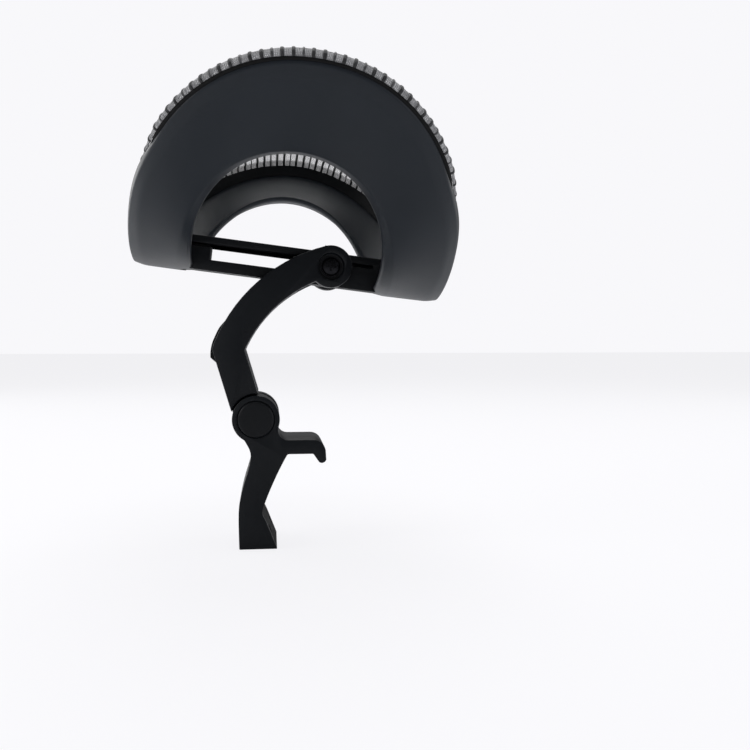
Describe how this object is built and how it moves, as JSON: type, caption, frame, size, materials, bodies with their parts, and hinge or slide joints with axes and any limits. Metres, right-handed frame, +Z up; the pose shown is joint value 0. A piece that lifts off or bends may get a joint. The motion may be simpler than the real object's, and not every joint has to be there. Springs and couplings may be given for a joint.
{
  "type": "chair_headrest_attachment",
  "caption": "Chair headrest attachment: clamp bracket with hook, forked friction-hinged arm, and arched mesh headrest that tilts and slides on a slotted rail",
  "frame": {"origin": "centre of the seat face under the hook, where the bracket rests on the top edge of the chair's back", "axes": "+X the front of the chair, +Y along the headrest's width, +Z up"},
  "size_m": [0.2038, 0.2996, 0.2804],
  "materials": {
    "satin_black": "satin",
    "matte_black": "matte",
    "slate_grey": "satin",
    "black_rubber": "matte",
    "steel": "satin",
    "black_steel": "satin",
    "nylon": "matte",
    "bronze": "satin",
    "grey_mesh": "matte"
  },
  "bodies": {
    "clamp": {"clamp_bracket": "satin_black", "hook_pad": "black_rubber", "leg_pad": "black_rubber", "hinge_bolt": "steel", "hinge_nut": "steel", "near_hinge_cap": "matte_black", "far_hinge_cap": "matte_black"},
    "arm": {"arm_fork": "satin_black", "arm_spine_cover": "matte_black", "knuckle_bushes": "nylon", "pivot_bolt": "black_steel", "pivot_washer": "steel", "pivot_nut": "steel"},
    "carriage": {"slide_block": "nylon", "pivot_bush": "bronze", "friction_washers": "nylon"},
    "headrest": {"slotted_rail": "matte_black", "rail_screws": "steel", "rear_shell": "slate_grey", "mesh_frame": "matte_black", "mesh_spline": "black_rubber", "mesh_panel": "grey_mesh"}
  },
  "joints": [
    {"name": "lower_hinge", "type": "hinge", "parent": "clamp", "child": "arm", "pos_m": [-0.028, 0, 0.0225], "axis": [0, 1, 0], "range_deg": [-25, 30]},
    {"name": "headrest_tilt", "type": "hinge", "parent": "arm", "child": "carriage", "pos_m": [0.0205, 0, 0.1204], "axis": [0, 1, 0], "range_deg": [-10, 65]},
    {"name": "height_slide", "type": "slide", "parent": "carriage", "child": "headrest", "axis": [0.9925, 0, -0.1219], "range_m": [-0.0033, 0.032]}
  ]
}
